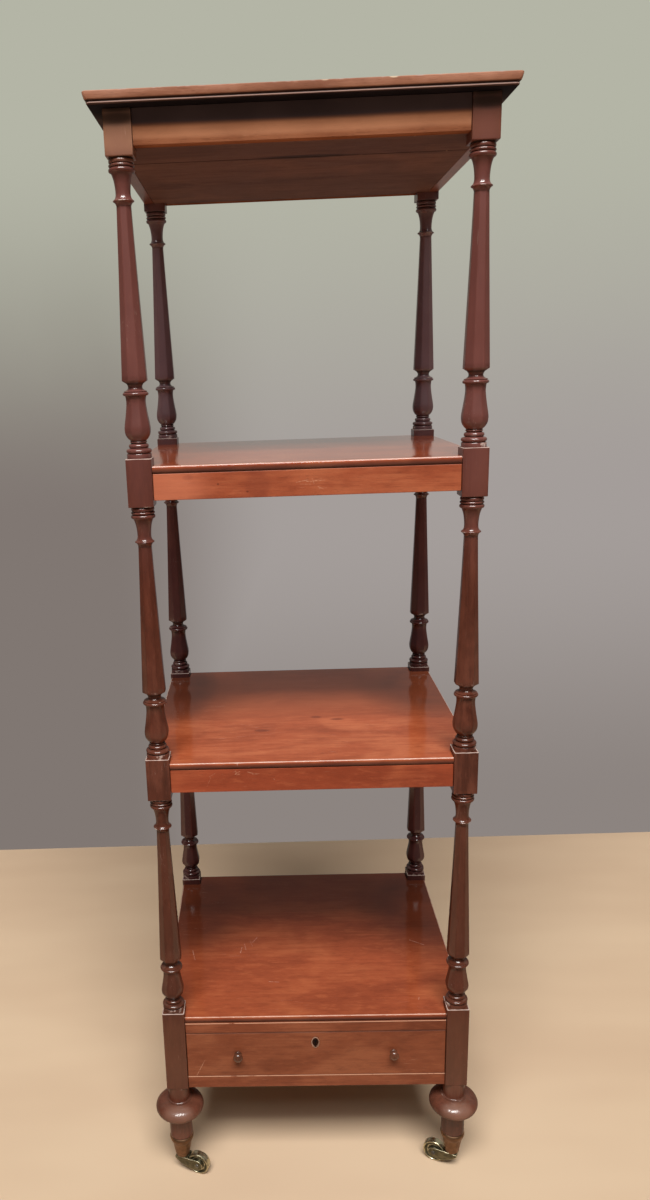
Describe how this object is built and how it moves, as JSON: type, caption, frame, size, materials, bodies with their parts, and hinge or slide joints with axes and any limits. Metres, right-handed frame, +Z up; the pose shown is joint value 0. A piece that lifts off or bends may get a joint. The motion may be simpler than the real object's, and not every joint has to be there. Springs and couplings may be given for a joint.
{
  "type": "four-tier shelf stand",
  "caption": "Tall open mahogany whatnot: square shelves on turned and faceted posts, a drawer in the base, bun feet in brass cup castors.",
  "frame": {"origin": "on the floor, under the middle of the stand", "axes": "+Z up; -Y towards the viewer, out of the drawer front; +X to the viewer's right"},
  "size_m": [0.4822, 0.4414, 1.4809],
  "materials": {
    "post_mahogany": "dark red-brown, worn french polish",
    "rail_mahogany": "orange-brown, french polish",
    "board_mahogany": "red-brown, glossy french polish with scratches",
    "drawer_mahogany": "red-brown, french polish",
    "top_mahogany": "red-brown, worn edges",
    "drawer_pine": "bare, dry",
    "knob_mahogany": "dark, polished by handling",
    "aged_brass": "dull greenish patina",
    "brown_brass": "brown patina",
    "steel": "dull"
  },
  "bodies": {
    "frame": {"front_left_post": "post_mahogany", "front_left_castor_cup": "brown_brass", "front_right_post": "post_mahogany", "front_right_castor_cup": "brown_brass", "rear_left_post": "post_mahogany", "rear_left_castor_cup": "brown_brass", "rear_right_post": "post_mahogany", "rear_right_castor_cup": "brown_brass", "frieze_front_rail": "rail_mahogany", "frieze_back_rail": "rail_mahogany", "frieze_left_rail": "rail_mahogany", "frieze_right_rail": "rail_mahogany", "upper_shelf_front_rail": "rail_mahogany", "upper_shelf_back_rail": "rail_mahogany", "upper_shelf_left_rail": "rail_mahogany", "upper_shelf_right_rail": "rail_mahogany", "lower_shelf_front_rail": "rail_mahogany", "lower_shelf_back_rail": "rail_mahogany", "lower_shelf_left_rail": "rail_mahogany", "lower_shelf_right_rail": "rail_mahogany", "base_upper_rail": "rail_mahogany", "base_lower_rail": "rail_mahogany", "base_back_panel": "rail_mahogany", "base_left_panel": "rail_mahogany", "base_right_panel": "rail_mahogany", "top_board": "top_mahogany", "soffit_front_board": "board_mahogany", "soffit_back_board": "board_mahogany", "upper_shelf_board": "board_mahogany", "lower_shelf_board": "board_mahogany", "base_board": "board_mahogany", "drawer_runner_left": "drawer_pine", "drawer_runner_right": "drawer_pine", "drawer_kicker_left": "drawer_pine", "drawer_kicker_right": "drawer_pine", "drawer_stop_left": "drawer_pine", "drawer_stop_right": "drawer_pine"},
    "drawer": {"drawer_front": "drawer_mahogany", "drawer_side_left": "drawer_pine", "drawer_side_right": "drawer_pine", "drawer_back": "drawer_pine", "drawer_bottom": "drawer_pine", "drawer_knob_left": "knob_mahogany", "drawer_knob_right": "knob_mahogany", "escutcheon": "aged_brass", "lock_case": "aged_brass"},
    "lock_bolt": {"lock_bolt": "steel"},
    "front_left_swivel": {"front_left_castor_horn": "aged_brass", "front_left_castor_axle": "steel"},
    "front_left_wheel": {"front_left_castor_wheel": "aged_brass"},
    "front_right_swivel": {"front_right_castor_horn": "aged_brass", "front_right_castor_axle": "steel"},
    "front_right_wheel": {"front_right_castor_wheel": "aged_brass"},
    "rear_left_swivel": {"rear_left_castor_horn": "aged_brass", "rear_left_castor_axle": "steel"},
    "rear_left_wheel": {"rear_left_castor_wheel": "aged_brass"},
    "rear_right_swivel": {"rear_right_castor_horn": "aged_brass", "rear_right_castor_axle": "steel"},
    "rear_right_wheel": {"rear_right_castor_wheel": "aged_brass"}
  },
  "joints": [
    {"name": "drawer_slide", "type": "slide", "parent": "frame", "child": "drawer", "axis": [0, -1, 0], "range_m": [0, 0.25]},
    {"name": "lock_bolt_slide", "type": "slide", "parent": "drawer", "child": "lock_bolt", "axis": [0, 0, 1], "range_m": [0, 0.005]},
    {"name": "front_left_swivel_turn", "type": "hinge", "parent": "frame", "child": "front_left_swivel", "pos_m": [-0.20525, -0.18575, 0.026], "axis": [0, 0, 1], "continuous": true},
    {"name": "front_left_wheel_spin", "type": "hinge", "parent": "front_left_swivel", "child": "front_left_wheel", "pos_m": [-0.18048, -0.19428, 0.017], "axis": [0.3256, 0.9455, 0], "continuous": true},
    {"name": "front_right_swivel_turn", "type": "hinge", "parent": "frame", "child": "front_right_swivel", "pos_m": [0.20525, -0.18575, 0.026], "axis": [0, 0, 1], "continuous": true},
    {"name": "front_right_wheel_spin", "type": "hinge", "parent": "front_right_swivel", "child": "front_right_wheel", "pos_m": [0.1817, -0.17426, 0.017], "axis": [-0.4384, -0.8988, 0], "continuous": true},
    {"name": "rear_left_swivel_turn", "type": "hinge", "parent": "frame", "child": "rear_left_swivel", "pos_m": [-0.20525, 0.18575, 0.026], "axis": [0, 0, 1], "continuous": true},
    {"name": "rear_left_wheel_spin", "type": "hinge", "parent": "rear_left_swivel", "child": "rear_left_wheel", "pos_m": [-0.18379, 0.20078, 0.017], "axis": [-0.5736, 0.8192, 0], "continuous": true},
    {"name": "rear_right_swivel_turn", "type": "hinge", "parent": "frame", "child": "rear_right_swivel", "pos_m": [0.20525, 0.18575, 0.026], "axis": [0, 0, 1], "continuous": true},
    {"name": "rear_right_wheel_spin", "type": "hinge", "parent": "rear_right_swivel", "child": "rear_right_wheel", "pos_m": [0.18063, 0.17679, 0.017], "axis": [0.342, -0.9397, 0], "continuous": true}
  ]
}
